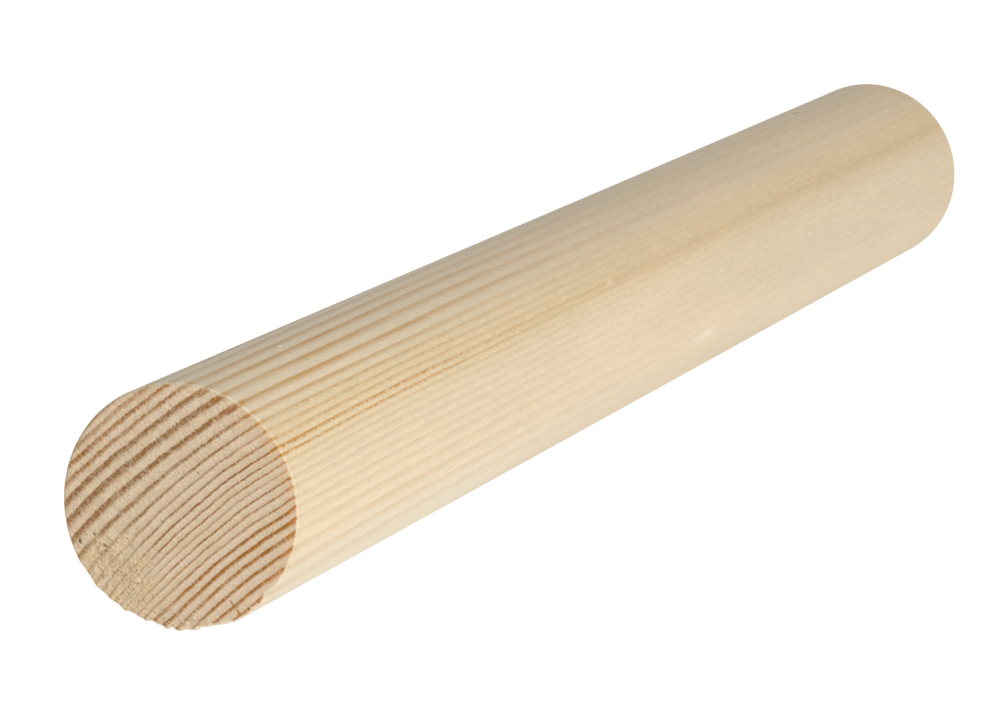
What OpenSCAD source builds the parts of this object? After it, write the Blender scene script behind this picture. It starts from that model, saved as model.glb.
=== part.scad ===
// Wooden dowel rod: one length of round softwood stock, cut off with a saw at both ends.
// It stands on its foot, with the origin at the middle of the foot and +Z up the rod.
// The head shows what the saw left: bands of hard latewood proud of the softer wood that
// grew between them, and a stretch of rim where the blade tore splinters out of the wall.

/* [Rod] */
// Diameter of the rod
rod_d = 40; // [20:0.5:80]
// Length from the foot to the sawn head
rod_l = 417; // [120:1:1200]
// Arris rubbed off round the head
head_arris = 0.4; // [0.1:0.05:1.5]
// Arris rubbed off round the foot
foot_arris = 0.3; // [0.1:0.05:1.5]

/* [Growth rings] */
// Distance from the axis of the rod to the pith of the tree
pith_distance = 132; // [60:1:300]
// Direction of the pith, seen from above the head
pith_angle = -53.5; // [-180:0.5:180]
// Mean width of one year's ring
ring_mean = 1.79; // [1.6:0.01:4]
// Slow swing of the ring width, between good and lean decades
slow_swing = 0.46; // [0:0.01:0.7]
// Wood grown in one slow swing
slow_cycle = 34.5; // [20:0.5:80]
// Where the slow swing is widest, outward from the axis of the rod
slow_widest = 9.25; // [-20:0.25:20]
// Quick swing of the ring width, between good and lean years
quick_swing = 0.31; // [0:0.01:0.6]
// Wood grown in one quick swing
quick_cycle = 19.2; // [8:0.2:40]
// Where the quick swing is widest, outward from the axis of the rod
quick_widest = 7; // [-20:0.25:20]
// Place of the ring edge that lies next to the axis of the rod
first_edge = 0.1; // [-1:0.05:1]
// Share of a ring that is hard latewood
latewood_share = 0.3; // [0.15:0.05:0.6]
// Height of the latewood above the softer wood on the sawn head
ring_relief = 0.12; // [0.05:0.01:0.3]

/* [Torn rim] */
// Depth into the wall of the deepest splinter
tear_depth = 0.7; // [0.2:0.05:1.5]
// Length down the wall of the longest splinter
tear_length = 9; // [3:0.5:30]

/* [Hidden] */
$fn = 360;

rod_r = rod_d / 2;
wood_color = "burlywood";
past = 1; // how far a cutter reaches past the wood

// Splinters lost from the rim of the head, one a row: its direction in degrees, its width
// along the rim as a share of the rod's radius, then its depth and its length as shares of
// the deepest and the longest.
splinters = [
    [213, 0.24, 0.36, 0.30],
    [226, 0.19, 0.43, 0.45],
    [233, 0.18, 0.57, 0.55],
    [242, 0.18, 0.80, 0.80],
    [246, 0.14, 0.71, 0.40],
    [252, 0.15, 0.93, 0.70],
    [256, 0.12, 0.70, 0.35],
    [262, 0.08, 0.75, 0.45],
    [270, 0.14, 0.50, 0.30],
    [277, 0.17, 1.00, 1.00],
    [283, 0.20, 0.95, 0.60],
    [289, 0.17, 0.66, 0.35]
];

// Width of the year's ring that starts s outward from the axis of the rod.
function ring_width(s) =
    ring_mean
    + slow_swing * cos(360 * (s - slow_widest) / slow_cycle)
    + quick_swing * cos(360 * (s - quick_widest) / quick_cycle);

// Ring edges from s outward, and from s back towards the pith, until they leave the rod.
function edges_outward(s) = s > rod_r ? [s] : concat([s], edges_outward(s + ring_width(s)));
function edges_inward(s) = s < -rod_r ? [s] : concat(edges_inward(s - ring_width(s)), [s]);

ring_edges = concat(edges_inward(first_edge - ring_width(first_edge)), edges_outward(first_edge));

// Stock of the rod, turned about its axis, with the arris off both ends.
module round_stock() {
    rotate_extrude()
        polygon([
            [0, 0],
            [rod_r - foot_arris, 0],
            [rod_r, foot_arris],
            [rod_r, rod_l - head_arris],
            [rod_r - head_arris, rod_l],
            [0, rod_l]
        ]);
}

// Softer wood between two bands of latewood, as a shallow ring about the pith.
module soft_band(inner, outer) {
    translate([0, 0, rod_l - ring_relief])
        difference() {
            cylinder(r = outer, h = ring_relief + past);
            translate([0, 0, -past])
                cylinder(r = inner, h = ring_relief + 3 * past);
        }
}

// All the soft bands that cross the head.
module soft_bands() {
    rotate(pith_angle)
        translate([pith_distance, 0, 0])
            for (i = [0 : len(ring_edges) - 2]) {
                latewood = latewood_share * (ring_edges[i + 1] - ring_edges[i]);
                soft_band(pith_distance + ring_edges[i], pith_distance + ring_edges[i + 1] - latewood);
            }
}

// One splinter: a round scoop that is deepest at the rim and runs out down the wall.
module splinter(angle, width, depth, length) {
    scoop_r = 1 / (8 * depth / pow(width, 2) - 1 / rod_r);
    rotate(angle)
        translate([rod_r - depth + scoop_r, 0, rod_l])
            rotate([0, -atan(depth / length), 0])
                translate([0, 0, -length - past])
                    cylinder(r = scoop_r, h = length + 2 * past, $fn = 48);
}

// The stretch of rim that broke away as the saw came through.
module torn_rim() {
    for (s = splinters)
        splinter(s[0], s[1] * rod_r, s[2] * tear_depth, s[3] * tear_length);
}

module dowel() {
    color(wood_color)
        difference() {
            round_stock();
            soft_bands();
            torn_rim();
        }
}

dowel();
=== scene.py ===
import bisect
import math

import bmesh
import bpy
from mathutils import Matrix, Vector, noise


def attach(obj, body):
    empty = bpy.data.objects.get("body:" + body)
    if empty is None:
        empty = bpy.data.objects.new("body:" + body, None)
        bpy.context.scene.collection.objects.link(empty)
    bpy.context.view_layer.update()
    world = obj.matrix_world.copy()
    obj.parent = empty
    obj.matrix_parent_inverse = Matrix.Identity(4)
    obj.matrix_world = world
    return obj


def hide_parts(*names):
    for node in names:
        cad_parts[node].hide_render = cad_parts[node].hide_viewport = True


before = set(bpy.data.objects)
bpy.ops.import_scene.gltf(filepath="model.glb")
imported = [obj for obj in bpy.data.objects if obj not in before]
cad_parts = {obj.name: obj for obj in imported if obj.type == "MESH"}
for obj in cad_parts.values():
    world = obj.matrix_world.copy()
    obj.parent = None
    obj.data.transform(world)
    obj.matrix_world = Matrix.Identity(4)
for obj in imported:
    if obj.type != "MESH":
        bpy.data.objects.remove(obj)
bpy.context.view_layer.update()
mm = 0.001

# The rod stands on its foot, and its sawn head is up. Its sizes are in millimetres.
rod = {
    "radius": 20,
    "length": 417,
    "headArris": 0.4,
    "footArris": 0.3,
    "headCells": (280, 110),  # squares across the rings and along them
    "rimRows": (8, 0.3),      # rows of faces round the squares, and their width
    "wallStep": 0.2,          # height of the first row of faces below the head
    "wallGrowth": 1.3,        # each row of faces is this much higher than the last
    "tallestRow": 14,
    "lastRow": 5,             # the last row of faces starts at least this far above the foot
    "flatness": 0.01,         # a point this near to an end lies in its plane
}

# How the tree grew. s is the distance outward from the rod's axis, away from the pith.
growth = {
    "pithDistance": 132,
    "pithAngle": -53.5,
    "ringMean": 1.79,
    "slowSwing": (0.46, 34.5, 9.25),      # swing, cycle, and the s where it is widest
    "quickSwing": (0.31, 19.2, 7),
    "firstEdge": 0.1,
    "margin": 2,                          # rings are worked out this far past the wall
    "waveSize": 9,                        # the rings aren't quite round
    "waveStretch": 9,                     # the waves are this much longer along the rod
    "waveDepth": 0.3,
    "leanShift": 1.3,                     # the rings shift down the rod, as the trunk leaned
    "leanDepth": 90,
    "tilt": 0.035,                        # some rings near the axis lie askew
    "tiltPlace": -1,
    "tiltReach": 8,
}

# What the saw left on the head.
sawnHead = {
    "relief": 0.07,           # softer wood lies this far below the latewood
    "ridgeRise": (0.6, 0.85),             # shares of a ring's width where latewood begins
    "ridgeFall": (0.1, 0.25),             # and where it ends, in the next ring
    "fuzz": 0.03,
    "fuzzSize": 0.45,
    "tearDepth": 0.7,
    "tearLength": 9,
    "tearReach": 2.8,         # splinters pull in the faces of the head this far from the wall
    "patchPlace": (-11.9, -10.5),         # middle of the wood that tore instead of cutting
    "patchReach": 9.4,
    "patchCore": 0.45,        # share of that reach where all of the wood tore
    "patchLobes": (0.35, 3),  # the outline's raggedness, as a share, and its size
    "patchFuzz": 0.14,
    "ledgeFrom": 299,         # the arris broke away between these directions
    "ledgeTo": 335,
    "ledgeEnds": (8, 12),     # degrees over which the break begins and ends
    "ledgeWidth": 0.7,
    "ledgeShares": (0.6, 0.1),            # mean and least share of that width
    "ledgeWaves": ((0.7, 4.5, 3), (0.5, 1.7, 7)),   # swing, size in degrees, place in the noise
    "ledgeLeast": 0.05,       # a narrower break than this has no slope
    "ledgeSlope": 0.6,
    "ledgeDepth": 4,
}

# Splinters lost from the rim: direction, width along the rim in radii, then depth and
# length as shares of the deepest and the longest.
splinters = [
    (213, 0.24, 0.36, 0.30), (226, 0.19, 0.43, 0.45), (233, 0.18, 0.57, 0.55),
    (242, 0.18, 0.80, 0.80), (246, 0.14, 0.71, 0.40), (252, 0.15, 0.93, 0.70),
    (256, 0.12, 0.70, 0.35), (262, 0.08, 0.75, 0.45), (270, 0.14, 0.50, 0.30),
    (277, 0.17, 1.00, 1.00), (283, 0.20, 0.95, 0.60), (289, 0.17, 0.66, 0.35),
]

outward = math.radians(growth["pithAngle"] + 180)


def smoothStep(low, high, value):
    share = min(max((value - low) / (high - low), 0), 1)
    return share * share * (3 - 2 * share)


def ringWidth(s):
    width = growth["ringMean"]
    for swing, cycle, widest in (growth["slowSwing"], growth["quickSwing"]):
        width += swing * math.cos(math.tau * (s - widest) / cycle)
    return width


def makeRingEdges(reach):
    edges = [growth["firstEdge"]]
    while edges[-1] < reach:
        edges.append(edges[-1] + ringWidth(edges[-1]))
    while edges[0] > -reach:
        edges.insert(0, edges[0] - ringWidth(edges[0]))
    return edges


ringEdges = makeRingEdges(rod["radius"] + growth["margin"])


# A point's distance outward, and its place along the ring.
def growthPlace(point):
    fromPith = Vector((math.cos(outward), math.sin(outward))) * growth["pithDistance"] + point.xy
    turn = math.atan2(fromPith.y, fromPith.x) - outward
    return fromPith.length - growth["pithDistance"], turn * growth["pithDistance"]


# How far the rings wander from true circles at a point in mm.
def ringWander(point):
    depth = rod["length"] - point.z
    place = Vector((point.x, point.y, point.z / growth["waveStretch"]))
    wave = noise.noise(place / growth["waveSize"])
    lean = 1 - math.exp(-depth / growth["leanDepth"])
    s, t = growthPlace(point)
    askew = max(1 - ((s - growth["tiltPlace"]) / growth["tiltReach"]) ** 2, 0)
    return growth["waveDepth"] * wave - growth["leanShift"] * lean + growth["tilt"] * t * askew


def ringShare(point, wander):
    s = growthPlace(point)[0] + wander
    i = min(max(bisect.bisect_right(ringEdges, s) - 1, 0), len(ringEdges) - 2)
    return (s - ringEdges[i]) / (ringEdges[i + 1] - ringEdges[i])


# Wall radius left by the splinters at a direction and a depth below the head.
def tornRadius(angle, depth):
    left = rod["radius"]
    for direction, width, deep, long in splinters:
        width *= rod["radius"]
        deep *= sawnHead["tearDepth"]
        long *= sawnHead["tearLength"]
        scoop = 1 / (8 * deep / width ** 2 - 1 / rod["radius"])
        centre = rod["radius"] - deep + scoop + depth * deep / long
        turn = angle - math.radians(direction)
        side = centre * math.sin(turn)
        if abs(side) < scoop and math.cos(turn) > 0:
            left = min(left, centre * math.cos(turn) - math.sqrt(scoop ** 2 - side ** 2))
    return left


# How far the broken arris reaches in from the wall.
def ledgeReach(angle):
    degrees = math.degrees(angle) % 360
    first, last = sawnHead["ledgeFrom"], sawnHead["ledgeTo"]
    beginning, ending = sawnHead["ledgeEnds"]
    inside = (smoothStep(first, first + beginning, degrees)
              * (1 - smoothStep(last - ending, last, degrees)))
    ragged, least = sawnHead["ledgeShares"]
    for swing, size, place in sawnHead["ledgeWaves"]:
        ragged += swing * noise.noise(Vector((degrees / size, 0.5, place)))
    return sawnHead["ledgeWidth"] * inside * max(ragged, least)


# 1 in the middle of the torn patch, and 0 outside it.
def tornShare(point):
    away = (point.xy - Vector(sawnHead["patchPlace"])).length / sawnHead["patchReach"]
    raggedness, size = sawnHead["patchLobes"]
    return 1 - smoothStep(sawnHead["patchCore"], 1, away + raggedness * noise.noise(point / size))


# Adds a row of faces outside the rim, and returns the new rim.
def growRim(bm, rim, reach, height):
    grown = bmesh.ops.extrude_edge_only(bm, edges=rim)["geom"]
    for v in (g for g in grown if isinstance(g, bmesh.types.BMVert)):
        v.co.xy = v.co.xy.normalized() * reach
        v.co.z = height
    return [g for g in grown if isinstance(g, bmesh.types.BMEdge) and g.is_boundary]


def turnRod(bm):
    radius, length, arris = rod["radius"], rod["length"], rod["headArris"]
    cells = rod["headCells"]
    rows, rowWidth = rod["rimRows"]
    inner = radius - arris - rows * rowWidth
    bmesh.ops.create_grid(bm, x_segments=cells[0], y_segments=cells[1], size=1)
    for v in bm.verts:        # the grid is drawn onto a disc, and its rows follow the rings
        x, y = v.co.x, v.co.y
        across = Vector((x * math.sqrt(1 - y * y / 2), y * math.sqrt(1 - x * x / 2), 0))
        across.rotate(Vector((math.cos(outward), math.sin(outward), 0)).to_track_quat("X", "Z"))
        v.co = across * inner
        v.co.z = length
    rim = [e for e in bm.edges if e.is_boundary]
    for row in range(rows):
        rim = growRim(bm, rim, inner + (row + 1) * rowWidth, length)
    sharp = list(rim)
    rim = growRim(bm, rim, radius - arris / 2, length - arris / 2)
    rim = growRim(bm, rim, radius, length - arris)
    sharp += rim
    depth, step = arris, rod["wallStep"]
    while depth + step < length - rod["lastRow"]:
        depth += step
        step = min(step * rod["wallGrowth"], rod["tallestRow"])
        rim = growRim(bm, rim, radius, length - depth)
    rim = growRim(bm, rim, radius, rod["footArris"])
    sharp += rim
    rim = growRim(bm, rim, radius - rod["footArris"], 0)
    sharp += rim
    bmesh.ops.contextual_create(bm, geom=rim)
    for f in bm.faces:
        f.smooth = True
    for e in sharp:
        e.smooth = False


# The rod laid out flat: its wall below, and its head and its foot above it.
layout = {
    "head": ((0.255, 0.74), 0.245),       # middle and radius of the disc
    "foot": ((0.755, 0.74), 0.235),
    "wallMiddle": 0.5,
    "wallWidth": 0.99,
    "wallTop": 0.475,
    "wallHeight": 0.47,
    "topExtra": 6,            # the first millimetre below the head counts for this many more
    "topShare": 500,          # rows near the head get more of the height, the more so as this falls
}


def layOut(bm):
    uv = bm.loops.layers.uv.new("OFBake")
    radius, length = rod["radius"], rod["length"]
    extra, crowding = layout["topExtra"], layout["topShare"]
    full = length + extra
    for f in bm.faces:
        middle = f.calc_center_median()
        facing = math.atan2(middle.y, middle.x)
        disc = None
        if middle.z > length - rod["flatness"]:
            disc = layout["head"]
        elif middle.z < rod["flatness"]:
            disc = layout["foot"]
        for loop in f.loops:
            x, y, z = loop.vert.co
            if disc:
                (right, up), size = disc
                loop[uv].uv = (right + size * x / radius, up + size * y / radius)
            else:
                turn = (math.atan2(y, x) - facing + math.pi) % math.tau - math.pi + facing
                along = length - z + extra * min(length - z, 1)
                share = along / (along + crowding) * (full + crowding) / full
                loop[uv].uv = (layout["wallMiddle"] + layout["wallWidth"] * turn / math.tau,
                               layout["wallTop"] - layout["wallHeight"] * share)


# Cuts the splinters, the relief of the rings and the broken arris.
def sawHead(bm, wander, broken):
    radius, length, arris = rod["radius"], rod["length"], rod["headArris"]
    for v in bm.verts:
        depth = length - v.co.z
        if depth > sawnHead["tearLength"]:
            continue
        reach, angle = v.co.xy.length, math.atan2(v.co.y, v.co.x)
        loss = radius - tornRadius(angle, depth)
        near = smoothStep(radius - sawnHead["tearReach"], radius - arris, reach)
        v.co.xy *= 1 - loss * near / max(reach, 1)
        if depth < rod["flatness"]:
            share = ringShare(v.co, v[wander])
            ridge = max(smoothStep(*sawnHead["ridgeRise"], share),
                        1 - smoothStep(*sawnHead["ridgeFall"], share))
            torn = tornShare(v.co)
            fuzz = sawnHead["fuzz"] + (sawnHead["patchFuzz"] - sawnHead["fuzz"]) * torn
            rough = noise.noise(v.co / sawnHead["fuzzSize"]) - 1
            v.co.z += fuzz * rough - sawnHead["relief"] * (1 - ridge) * (1 - torn)
        ledge = ledgeReach(angle)
        v[broken] = ledge
        if ledge > sawnHead["ledgeLeast"]:
            drop = sawnHead["ledgeSlope"] * max(reach - (radius - ledge), 0)
            v.co.z -= drop * max(1 - depth / sawnHead["ledgeDepth"], 0)


def makeRod():
    bm = bmesh.new()
    turnRod(bm)
    endGrain = bm.verts.layers.float.new("endGrain")
    wander = bm.verts.layers.float.new("wander")
    torn = bm.verts.layers.float.new("torn")
    broken = bm.verts.layers.float.new("broken")
    for v in bm.verts:
        v[wander] = ringWander(v.co)
        onHead = v.co.z > rod["length"] - rod["flatness"]
        onFoot = v.co.z < rod["flatness"]
        v[endGrain] = 1 if onHead or onFoot else 0
        v[torn] = tornShare(v.co) if onHead else 0
    layOut(bm)
    print("rod turned:", len(bm.faces), "faces")
    sawHead(bm, wander, broken)
    print("head sawn")
    bmesh.ops.scale(bm, vec=(mm, mm, mm), verts=bm.verts)
    bmesh.ops.recalc_face_normals(bm, faces=bm.faces)
    mesh = bpy.data.meshes.new("sawnRod")
    bm.to_mesh(mesh)
    bm.free()
    piece = bpy.data.objects.new("sawnRod", mesh)
    bpy.context.scene.collection.objects.link(piece)
    return piece


# Colours as they look in daylight, then measures, then lists that run along s.
wood = {
    "earlyEnd": "efd9bf",
    "earlyEndDeep": "e2c59c",
    "earlyEndTorn": "e6c79a",
    "lateEnd": "9d6d36",
    "lateEndWarm": "ab6c1d",
    "lateEndRim": "c2802f",
    "pit": "94683a",
    "fleck": "f3e3c6",
    "earlySide": "efdbb9",
    "earlySideWarm": "efd7ac",
    "lateSide": "cb9b47",
    "lateSideWarm": "cf9238",
    # pale frayed fibres at the arris, with a painted highlight
    "arris": "f8ecd6",
    "rimTint": (1.04, 0.98, 0.92, 1),     # multiplies the end's colour near its rim
    "paintedSheenTint": (1, 1.05, 1.13, 1),       # and the wall's nearest to the pith and farthest: a painted sheen, paler and greyer, where the wall turns away at its edges
    "roughness": 0.6,
    "gloss": 0.35,
    "sheen": 0.04,
    "bumpStrength": 0.8,
    "fibreHeight": 0.02,                  # heights for the bump, in mm
    "fuzzHeight": 0.08,
    "pitDepth": 0.06,
    "nickEdge": 0.1,                      # how softly a nick ends
    # how dark the latewood is on the ends, and how many mm wide
    "endStrength": ((-22, 1), (-19.5, 1.05), (-17.6, 0.98), (-15.5, 1.08), (-12, 1.19),
                    (-9.2, 0.85), (-7.7, 0.8), (-6.5, 1.03), (-5.3, 0.58), (-4.1, 0.92),
                    (-2.9, 0.97), (-1.4, 1.08), (0.1, 0.9), (1.4, 0.68), (3.5, 0.93), (5.6, 0.88),
                    (8.2, 1.12), (10.8, 1), (13, 1.06), (15, 0.9), (16.8, 0.95), (18.5, 0.7),
                    (22, 0.8)),
    "endWidth": ((-22, 1), (-19, 0.85), (-17, 0.64), (-12, 0.82), (-9, 0.5), (-1, 0.46),
                 (3.5, 0.68), (6, 0.92), (8, 1.18), (13, 1.05), (15, 0.75), (17, 0.85), (22, 0.8)),
    # how dark it is on the wall, and how much of that is left further down
    "sideStrength": ((-22, 0.26), (-14, 0.34), (-9, 0.29), (-6.5, 0.33), (-4.2, 0.36),
                     (-3.2, 0.6), (-2.2, 1.2), (-0.9, 0.95), (0.5, 0.55), (2, 0.5), (3.7, 0.68),
                     (5.6, 0.72), (8, 0.97), (10.3, 0.75), (12.5, 0.95), (14.5, 0.78),
                     (16.6, 0.58), (22, 0.5)),
    "sideFar": ((-22, 1), (-4, 1), (-2.5, 0.65), (-0.9, 0.65), (0.5, 0.9), (4.3, 0.95),
                (5.9, 0.5), (7.5, 0.95), (22, 1)),
    # and painted light and shade on the wall: lighter where it faces the lamp, darker where it
    # turns away
    "paintedSideShade": ((-22, 0.98), (-18.7, 0.967), (-16.2, 0.946), (-12.6, 0.938), (-8.1, 0.958),
                  (-2.4, 0.962), (2.5, 0.996), (7.7, 0.984), (12, 0.932), (15.5, 0.849),
                  (18, 0.771), (22, 0.73)),
}

# Noise that follows the grain: waves per mm along s, t and z, then detail and roughness.
grainPatterns = {
    "wobble": ((0.12, 0.3, 0.02), 2, 0.5),
    "jag": ((0.9, 2.8, 0.15), 3, 0.65),
    "beads": ((1.6, 2.6, 0.2), 3, 0.65),
    "patches": ((0.25, 0.22, 0.01), 2, 0.5),
    "endHue": ((0.5, 0.25, 0.02), 2, 0.5),
    "tornHue": ((0.6, 0.6, 0.1), 3, 0.5),
    "fibreEnds": ((0.4, 3.4, 0.05), 3, 0.6),
    "specks": ((1.2, 2.8, 0.3), 2, 0.7),
    "clumps": ((0.35, 0.3, 0.05), 2, 0.6),
    "crumbs": ((0.7, 2.0, 0.2), 4, 0.75),
    "streaks": ((0.4, 0.4, 0.03), 4, 0.65),
    "wallHue": ((0.3, 0.3, 0.07), 2, 0.5),
    "nicks": ((0.9, 1.3, 0.3), 4, 0.7),
}
# The same, for noise along x, y and z.
plainPatterns = {
    "chatter": ((0.4, 0.4, 0.95), 2, 0.6),
    "clouds": ((0.09, 0.09, 0.01), 2, 0.5),
    "fibre": ((3.2, 3.2, 0.12), 3, 0.6),
    "mottle": ((1.3, 1.3, 0.5), 3, 0.65),
    "fuzz": ((3.2, 3.2, 3.2), 3, 0.65),
}

# Small marks: direction and depth below the head, size across and along the grain, shade
# and strength. Those on the head have their place instead.
wallMarks = [
    ((80.4, 38.4), (0.4, 0.8), "fff8e6", 1),
    ((32.1, 171.2), (0.8, 1.9), "fae2c2", 0.45),
    ((-22.4, 223), (1.1, 7.5), "fff5da", 0.27),
    ((-21.8, 227), (0.9, 3.5), "fff5da", 0.24),
    ((91.8, 360.9), (0.8, 2.0), "8d7a5c", 0.6),
]
headMarks = [
    ((7.87, -15.24), (0.2, 0.75), "b0733a", 0.7),
    ((8.9, -16.7), (0.24, 0.85), "b0733a", 0.7),
    ((8.95, -17.15), (0.5, 0.4), "c2802f", 0.85),
    ((3.47, 5.55), (0.17, 0.22), "7d5a36", 0.85),
    ((7.37, 11.16), (0.15, 0.22), "7d5a36", 0.6),
    ((-8.13, -10.12), (0.17, 0.2), "6f4f2c", 0.85),
    ((-17.51, -5.63), (0.27, 0.44), "7d5832", 0.85),
    ((-13.24, -6.24), (0.24, 0.42), "7d5832", 0.8),
    ((-14.97, -4.39), (0.2, 0.38), "7d5832", 0.75),
    ((-3.25, -2.11), (0.11, 0.3), "86603a", 0.6),
    ((-9.38, -5.02), (0.12, 0.35), "86603a", 0.7),
    ((-14.01, -11.24), (0.12, 0.6), "86603a", 0.7),
    ((-9.57, -13.01), (0.12, 0.5), "86603a", 0.6),
    ((10.12, 15.79), (1.8, 0.36), "92571f", 0.62),
    ((7.46, 17.07), (1.2, 0.3), "92571f", 0.5),
    ((5.21, 18.26), (1.3, 0.3), "92571f", 0.5),
]


# A colour's code as linear light.
def colour(code):
    channels = [int(code[i:i + 2], 16) / 255 for i in (0, 2, 4)]
    return [c / 12.92 if c <= 0.04045 else ((c + 0.055) / 1.055) ** 2.4 for c in channels] + [1]


def newMaterial(name):
    material = bpy.data.materials.new(name)
    material.use_nodes = True
    return material


softwood = newMaterial("softwood")
tree = softwood.node_tree
tree.nodes.clear()


def fill(socket, value):
    if isinstance(value, bpy.types.NodeSocket):
        socket.id_data.links.new(value, socket)
    elif value is not None:
        socket.default_value = value


def fillNamed(node, values):
    for name, value in values.items():
        fill(node.inputs[name], value)


# Adds a shader node, fills its inputs in order, and returns the output asked for.
def make(kind, *values, out=0, owner=tree, **settings):
    node = owner.nodes.new("ShaderNode" + kind)
    for name, value in settings.items():
        setattr(node, name, value)
    for socket, value in zip(node.inputs, values):
        fill(socket, value)
    return node.outputs[out]


def calc(operation, a, b=0.0, c=0.0, clamp=False):
    return make("Math", a, b, c, operation=operation, use_clamp=clamp)


def times(first, *others):
    for other in others:
        first = calc("MULTIPLY", first, other)
    return first


def invert(value):
    return calc("SUBTRACT", 1.0, value)


# Spreads a value that runs from 0 to 1 evenly to both sides of 0.
def swing(value, size):
    return times(calc("SUBTRACT", value, 0.5), size)


# 1 and a share of the value, to multiply something by.
def gain(value, size=1.0):
    return calc("MULTIPLY_ADD", value, size, 1.0)


def ramp(value, low, high, toLow=0.0, toHigh=1.0):
    return make("MapRange", value, low, high, toLow, toHigh, interpolation_type="SMOOTHSTEP")


def blend(factor, a, b):
    return make("Mix", factor, None, a, b, data_type="FLOAT")


def mix(factor, a, b, blending="MIX"):
    unused = [None] * 5       # the inputs for other kinds of value
    return make("Mix", factor, *unused, a, b, out=2, data_type="RGBA", blend_type=blending)


def shade(surface, level):
    return mix(1.0, surface, make("CombineColor", level, level, level), "MULTIPLY")


def curve(value, points):
    low, high = points[0][0], points[-1][0]
    node = tree.nodes.new("ShaderNodeFloatCurve")
    line = node.mapping.curves[0]
    while len(line.points) < len(points):
        line.points.new(0.5, 0.5)
    for point, (x, y) in zip(line.points, points):
        point.location = ((x - low) / (high - low), y)
        point.handle_type = "AUTO_CLAMPED"
    node.mapping.update()
    fill(node.inputs["Value"], make("MapRange", value, low, high, 0.0, 1.0))
    return node.outputs[0]


def attribute(name):
    return make("Attribute", attribute_name=name, out=2)


# The point that is shaded, in mm: ahead is outward from the pith, and z up the rod. Then s
# outward from the rod's axis, t along the ring, and the reach from the axis.
place = make("TexCoord", out=3)
whole = make("Mapping", place, (0, 0, 0), (0, 0, 0), (1 / mm, 1 / mm, 1 / mm))
turned = make("Mapping", place, (0, 0, 0), (0, 0, -outward), (1 / mm, 1 / mm, 1 / mm))
ahead, across, z = [make("SeparateXYZ", turned, out=axis) for axis in range(3)]
fromPith = calc("ADD", ahead, growth["pithDistance"])
distance = calc("SQRT", calc("ADD", times(fromPith, fromPith), times(across, across)))
s = calc("ADD", calc("SUBTRACT", distance, growth["pithDistance"]), attribute("wander"))
t = times(calc("ARCTAN2", across, fromPith), growth["pithDistance"])
reach = make("VectorMath", make("CombineXYZ", ahead, across), operation="LENGTH", out=1)
endGrain = attribute("endGrain")
torn = attribute("torn")


def grainNoise(name):
    (alongS, alongT, alongZ), detail, roughness = grainPatterns[name]
    vector = make("CombineXYZ", times(s, alongS), times(t, alongT), times(z, alongZ))
    return make("TexNoise", vector, None, 1.0, detail, roughness)


def plainNoise(name, point=whole):
    waves, detail, roughness = plainPatterns[name]
    vector = make("Mapping", point, (0, 0, 0), (0, 0, 0), waves)
    return make("TexNoise", vector, None, 1.0, detail, roughness)


# Patterns that more than one part of the finish uses. The planer rippled the softest rings.
chatter = plainNoise("chatter")
clouds = plainNoise("clouds")
fibre = plainNoise("fibre")
fuzz = plainNoise("fuzz", turned)
middle = times(ramp(s, -4.0, -2.6), ramp(s, 1.2, -0.6))
rippled = calc("MAXIMUM", middle, times(ramp(s, -7.0, -4.0), ramp(s, 6.5, 3.0), 0.7))
atRim = times(ramp(reach, 17.3, 19.4), ramp(across, 6.0, -3.0, 0.25, 1.0),
              ramp(s, 1.0, 8.0, 1.0, 0.3))


# Returns how far in from the outside of its ring a point lies, and how wide the latewood is,
# both as shares of the ring's width, and how dark this year's latewood is.
def drawYears():
    # the rings are jagged on the end, and zigzag on the wall where the planer rippled it
    wobble = swing(grainNoise("wobble"), 0.35)
    jag = times(swing(grainNoise("jag"), 0.7),
                ramp(s, 2.0, 8.0, 0.35, 1.1), ramp(t, 8.0, -4.0, 0.5, 0.85))
    zigzag = times(swing(chatter, 0.55), rippled)
    ragged = blend(endGrain, calc("ADD", zigzag, times(jag, 0.25)), jag)
    edge = calc("ADD", s, calc("ADD", wobble, ragged))
    years = len(ringEdges) - 1
    age = times(curve(edge, [(at, i / years) for i, at in enumerate(ringEdges)]), years)
    # the latewood is wider at the rim, and past the middle of the outer rings
    width = curve(s, [(at, wide / ringWidth(at)) for at, wide in wood["endWidth"]])
    width = times(width, gain(atRim, 0.3), gain(times(ramp(t, -2.0, 6.0), ramp(s, 1.0, 4.0)), 0.15))
    # a band's darkest part, not its end, lies on the edge of its ring
    age = calc("SUBTRACT", age, times(width, 0.42))
    inset = invert(calc("FRACT", age))
    chance = make("TexWhiteNoise", None, calc("FLOOR", age), noise_dimensions="1D")
    return inset, width, calc("MULTIPLY_ADD", chance, 0.16, 0.9)


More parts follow.
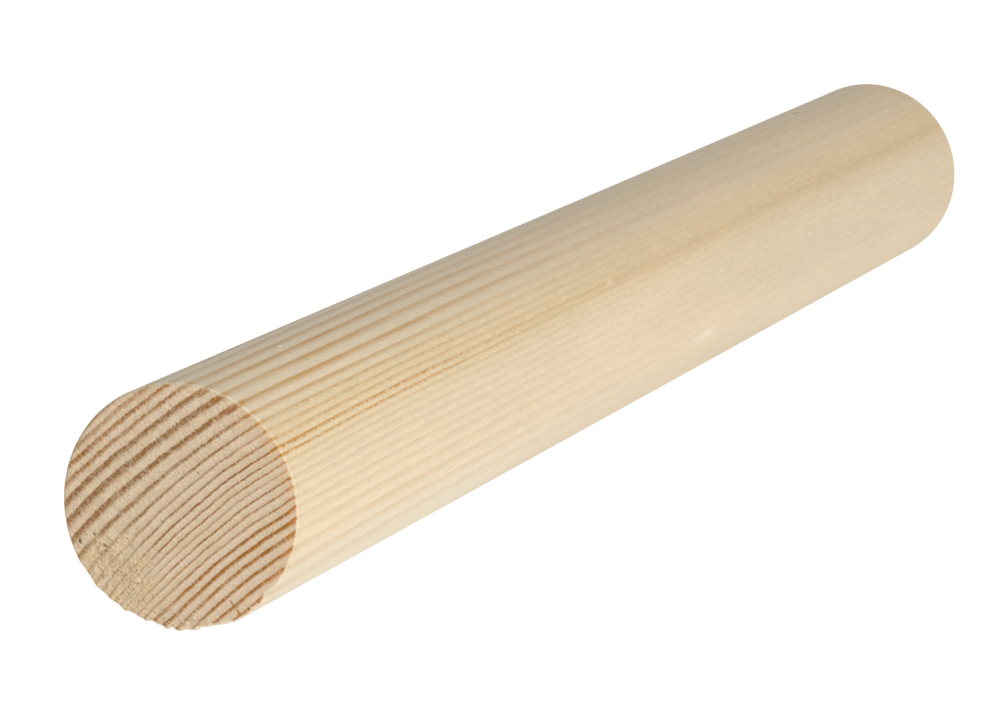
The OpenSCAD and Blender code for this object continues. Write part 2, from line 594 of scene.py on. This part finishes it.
# End grain: each dark band is sharp on its outer side and fades towards the pith. It is
# broken into beads and patches, and fainter where the wood tore.
def paintEnd(inset, width, luck):
    band = times(ramp(inset, 0.0, 0.13),
                 ramp(inset, times(width, 0.45), times(width, 1.35), 1.0, 0.0))
    beads = ramp(grainNoise("beads"), 0.32, 0.62, 0.58, 1.14)
    patchy = ramp(grainNoise("patches"), 0.3, 0.7, 0.87, 1.1)
    faint = times(ramp(torn, 0.15, 0.8, 1.0, 0.55),
                  invert(times(ramp(t, 5.0, 11.0, 0.0, 0.24), ramp(s, 2.0, -5.0))))
    dark = calc("MULTIPLY", times(band, curve(s, wood["endStrength"]), beads, patchy, luck),
                faint, clamp=True)
    early = mix(grainNoise("endHue"), colour(wood["earlyEnd"]), colour(wood["earlyEndDeep"]))
    early = mix(times(torn, ramp(grainNoise("tornHue"), 0.3, 0.7)), early,
                colour(wood["earlyEndTorn"]))
    warm = calc("MAXIMUM", ramp(s, 2.0, -9.0), ramp(s, 13.0, 15.5, 0.0, 0.8))
    warm = calc("MAXIMUM", warm, ramp(t, -10.0, -16.0))
    late = mix(warm, colour(wood["lateEnd"]), colour(wood["lateEndWarm"]))
    end = mix(dark, early, mix(atRim, late, colour(wood["lateEndRim"])))
    end = shade(end, ramp(grainNoise("fibreEnds"), 0.3, 0.7, 0.93, 1.06))
    end = shade(end, ramp(fuzz, 0.3, 0.7, 0.88, 1.1))
    return mix(atRim, end, wood["rimTint"], "MULTIPLY")


# Adds pits, pale flecks and crumbs where the cut is rough. They are longer across the rings.
def roughenEnd(end):
    nearWall = times(ramp(reach, 15.0, 18.5, 0.0, 0.85), ramp(t, 6.0, 12.0), ramp(s, 11.0, 7.0))
    rough = calc("MAXIMUM", torn, ramp(s, -2.0, 6.0, 0.0, 0.4))
    rough = calc("MAXIMUM", rough, nearWall)
    specks = grainNoise("specks")
    clumps = ramp(grainNoise("clumps"), 0.35, 0.6, 0.25, 1.0)
    pits = times(ramp(specks, 0.57, 0.66), ramp(rough, 0.0, 0.8, 0.08, 1.0), clumps)
    end = mix(times(pits, 0.65), end, colour(wood["pit"]))
    flecks = times(ramp(specks, 0.43, 0.34), rough)
    end = mix(times(flecks, 0.6), end, colour(wood["fleck"]))
    crumbs = ramp(grainNoise("crumbs"), 0.3, 0.65, 0.82, 1.1)
    return mix(rough, end, shade(end, crumbs)), pits


# The wall's year lines, which blur down the rod and are darkest next to the head.
def drawLines(inset, fade):
    crisp = times(ramp(inset, 0.0, 0.2), ramp(inset, 0.2, 0.72, 1.0, 0.0))
    blurred = times(ramp(inset, 0.0, 0.38), ramp(inset, 0.38, 1.0, 0.7, 0.0))
    blur = calc("MAXIMUM", ramp(z, 340.0, 150.0), ramp(s, -3.5, -7.0, 0.0, 0.5))
    ripple = gain(times(rippled, ramp(chatter, 0.36, 0.62, -0.6, 0.2)))
    streaks = ramp(grainNoise("streaks"), 0.3, 0.68, 0.72, 1.12)
    far = invert(times(invert(curve(s, wood["sideFar"])), ramp(z, 400.0, 300.0)))
    nearHead = ramp(z, rod["length"] - 2.5, rod["length"], 1.0, 1.7)
    return times(blend(blur, crisp, blurred), ripple, streaks, fade, far, nearHead)


def paintWall(inset, luck):
    # the lines pale down the rod, but less on the side that the camera doesn't see
    fade = times(ramp(z, 190.0, 390.0, 0.24, 1.0), ramp(z, 40.0, 200.0, 0.8, 1.0))
    fade = calc("MAXIMUM", fade, ramp(across, 0.0, 12.0, 0.0, 0.55))
    strength = curve(s, wood["sideStrength"])

    # the wood between them takes on what they lose
    early = mix(times(ramp(s, -7.0, -2.0), ramp(s, 7.0, 1.0)), colour(wood["earlySide"]),
                colour(wood["earlySideWarm"]))
    faded = times(strength, calc("MULTIPLY_ADD", fade, -0.22, 0.22))
    early = mix(faded, early, colour(wood["lateSide"]))
    hue = calc("MAXIMUM", middle, ramp(grainNoise("wallHue"), 0.4, 0.7))
    late = mix(hue, colour(wood["lateSide"]), colour(wood["lateSideWarm"]))
    dark = calc("MULTIPLY", times(drawLines(inset, fade), strength), luck, clamp=True)
    side = mix(dark, early, late)

    # clouds with a painted falloff of light, fibres, mottle, painted light and shade with a painted
    # sheen, the planer's ripple, and an arris that frays pale and carries a painted highlight
    # painted light falling off along the wall: darker towards the foot, lighter near the head
    side = shade(side, times(ramp(clouds, 0.3, 0.7, 0.96, 1.02),
                             ramp(z, 0.0, rod["length"], 0.97, 1.0815)))
    side = shade(side, ramp(fibre, 0.3, 0.7, 0.955, 1.03))
    side = shade(side, ramp(plainNoise("mottle"), 0.3, 0.7, 0.96, 1.035))
    # painted light and shade: lighter on the side facing the lamp, darker on the side turned away
    side = shade(side, curve(s, wood["paintedSideShade"]))
    # painted sheen: the wall's edges, seen at a glancing angle, turn paler and greyer
    glancingSheen = calc("MAXIMUM", times(ramp(s, -15.5, -20.0), ramp(z, 200.0, 400.0)), ramp(s, 14.5, 18.5))
    side = mix(glancingSheen, side, wood["paintedSheenTint"], "MULTIPLY")
    side = shade(side, gain(times(rippled, ramp(chatter, 0.35, 0.65, -0.035, 0.03))))
    # pale frayed fibres along the arris, together with a painted highlight
    frayedAndHighlit = times(ramp(z, rod["length"] - 0.8, rod["length"] - 0.3), ramp(fuzz, 0.4, 0.6),
                   ramp(clouds, 0.4, 0.6, 0.15, 0.75))
    return mix(frayedAndHighlit, side, colour(wood["arris"]))


# A small soft spot, whose outline follows the fuzz of the wood.
def addMark(surface, centre, size, turn, code, strength):
    local = make("VectorMath", whole, centre, operation="SUBTRACT")
    local = make("VectorRotate", local, None, (0, 0, 1), turn, rotation_type="Z_AXIS")
    local = make("VectorMath", local, [1 / a for a in size], operation="MULTIPLY")
    away = make("VectorMath", local, operation="LENGTH", out=1)
    away = calc("ADD", away, swing(fuzz, 0.9))
    return mix(ramp(away, 0.6, 1.15, strength, 0.0), surface, colour(code))


def markWood(side, end):
    radius, length = rod["radius"], rod["length"]
    for (direction, depth), (wide, long), code, strength in wallMarks:
        turn = math.radians(direction)
        centre = (radius * math.cos(turn), radius * math.sin(turn), length - depth)
        side = addMark(side, centre, (wide, wide, long), -turn, code, strength)
    for (x, y), (wide, long), code, strength in headMarks:
        end = addMark(end, (x, y, length), (long, wide, 1), -outward, code, strength)
    return side, end


def finishWood():
    inset, width, luck = drawYears()
    end, pits = roughenEnd(paintEnd(inset, width, luck))
    side, end = markWood(paintWall(inset, luck), end)

    # the wall's colour comes in over the end where its arris is broken or nicked
    nicks = ramp(grainNoise("nicks"), 0.4, 0.65, 0.0, 0.45)
    lost = calc("ADD", attribute("broken"), nicks)
    onEnd = times(endGrain, ramp(calc("ADD", reach, lost), rod["radius"] - wood["nickEdge"],
                                 rod["radius"], 1.0, 0.0))

    endHeight = calc("SUBTRACT", times(fuzz, wood["fuzzHeight"]), times(pits, wood["pitDepth"]))
    height = calc("ADD", times(fibre, wood["fibreHeight"]), times(endGrain, endHeight))
    bump = tree.nodes.new("ShaderNodeBump")
    fillNamed(bump, {"Strength": wood["bumpStrength"], "Distance": mm, "Height": height})

    skin = tree.nodes.new("ShaderNodeBsdfPrincipled")
    fillNamed(skin, {
        "Base Color": mix(onEnd, side, end),
        "Normal": bump.outputs[0],
        "Roughness": wood["roughness"],
        "Specular IOR Level": wood["gloss"],
        "Sheen Weight": wood["sheen"],
    })
    output = tree.nodes.new("ShaderNodeOutputMaterial")
    fillNamed(output, {"Surface": skin.outputs[0]})


piece = makeRod()
finishWood()
piece.data.materials.append(softwood)
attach(piece, "root")
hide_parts("dowel")
print("wood grown")

# The camera looks down along the standing rod. Places are in metres, from its foot.
studio = {
    "floorSize": 60,
    "floorShade": 0.7,
    "floorGlow": 0.7,
    "floorRoughness": 0.9,
    "worldStrength": 0.54,
    "keyPlace": (0.87, -0.17, 0.95),
    "keyAim": (0, 0, 0.25),
    "keySize": 1.7,
    "keyWatts": 9.5,
    "cameraPlace": (0.33455, 0.15212, 1.21626),
    "cameraTurn": (-9.644, 18.82, -3.137),
    "lens": 200.5,
}


# The floor glows only where it is seen, so it looks white and lights nothing.
def makeFloorMaterial():
    material = newMaterial("paleFloor")
    owner = material.node_tree
    rays = owner.nodes.new("ShaderNodeLightPath").outputs
    seen = make("Math", rays["Is Camera Ray"], rays["Is Glossy Ray"], owner=owner,
                operation="MAXIMUM")
    seen = make("Math", seen, rays["Is Transmission Ray"], owner=owner, operation="MAXIMUM")
    fillNamed(owner.nodes["Principled BSDF"], {
        "Base Color": [studio["floorShade"]] * 3 + [1],
        "Roughness": studio["floorRoughness"],
        "Specular IOR Level": 0,
        "Emission Color": (1, 1, 1, 1),
        "Emission Strength": make("Math", seen, studio["floorGlow"], owner=owner,
                                  operation="MULTIPLY"),
    })
    return material


def makeFloor():
    bm = bmesh.new()
    bmesh.ops.create_grid(bm, x_segments=1, y_segments=1, size=studio["floorSize"] / 2)
    mesh = bpy.data.meshes.new("floor")
    bm.to_mesh(mesh)
    bm.free()
    floor = bpy.data.objects.new("floor", mesh)
    bpy.context.scene.collection.objects.link(floor)
    floor.data.materials.append(makeFloorMaterial())


def makeLight():
    world = bpy.data.worlds.new("studio")
    bpy.context.scene.world = world
    world.use_nodes = True
    sky = world.node_tree.nodes["Background"]
    fillNamed(sky, {"Strength": studio["worldStrength"], "Color": (1, 1, 1, 1)})

    lamp = bpy.data.lights.new("key", "AREA")
    lamp.shape = "DISK"
    lamp.size = studio["keySize"]
    lamp.energy = studio["keyWatts"]
    key = bpy.data.objects.new("key", lamp)
    key.location = studio["keyPlace"]
    facing = Vector(studio["keyAim"]) - key.location
    key.rotation_euler = facing.to_track_quat("-Z", "Y").to_euler()
    key.visible_camera = False
    bpy.context.scene.collection.objects.link(key)


def makeCamera():
    eye = bpy.data.cameras.new("camera")
    eye.lens = studio["lens"]
    camera = bpy.data.objects.new("camera", eye)
    camera.location = studio["cameraPlace"]
    camera.rotation_euler = [math.radians(a) for a in studio["cameraTurn"]]
    bpy.context.scene.collection.objects.link(camera)
    bpy.context.scene.camera = camera


makeFloor()
makeLight()
makeCamera()
bpy.context.scene.view_settings.view_transform = "Standard"
print("studio lit")
